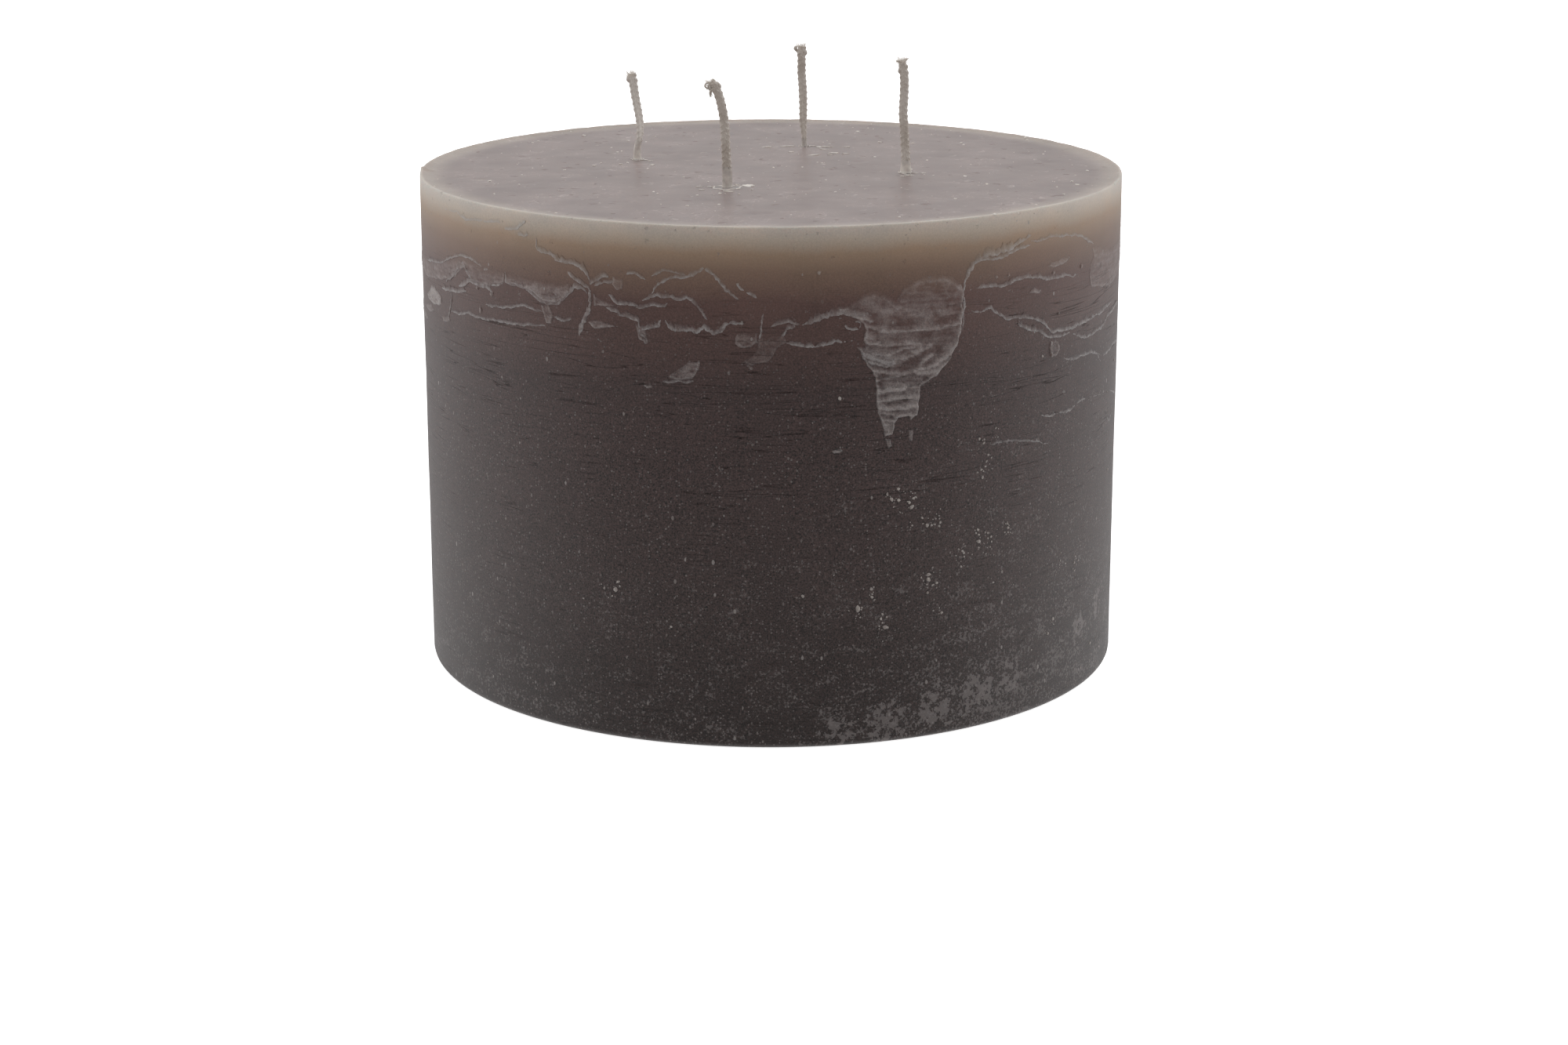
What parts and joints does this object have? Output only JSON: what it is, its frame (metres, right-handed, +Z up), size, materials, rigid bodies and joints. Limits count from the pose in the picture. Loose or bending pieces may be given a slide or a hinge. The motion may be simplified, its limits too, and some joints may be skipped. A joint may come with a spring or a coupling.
{
  "type": "multi-wick candle",
  "caption": "Round rustic pillar candle of grey-brown wax with braided cotton wicks, for standing on a plate or table and burning with several flames.",
  "frame": {"origin": "centre of the base, on the surface that the candle stands on", "axes": "+Z up along the candle's axis, -Y towards the side that the picture shows"},
  "size_m": [0.2, 0.2, 0.1728],
  "materials": {
    "wax": "poured wax, satin on the flat top, rustic frosted side",
    "seal_wax": "dripped wax, satin",
    "cotton": "flat braided cotton, primed with wax",
    "tinplate": "stamped tin plate, satin"
  },
  "bodies": {
    "root": {"wax_pillar": "wax", "wick_right": "cotton", "wick_back": "cotton", "wick_left": "cotton", "wick_front": "cotton", "wick_seal_right": "seal_wax", "wick_seal_back": "seal_wax", "wick_seal_left": "seal_wax", "wick_seal_front": "seal_wax", "sustainer_right": "tinplate", "sustainer_back": "tinplate", "sustainer_left": "tinplate", "sustainer_front": "tinplate"}
  },
  "joints": []
}
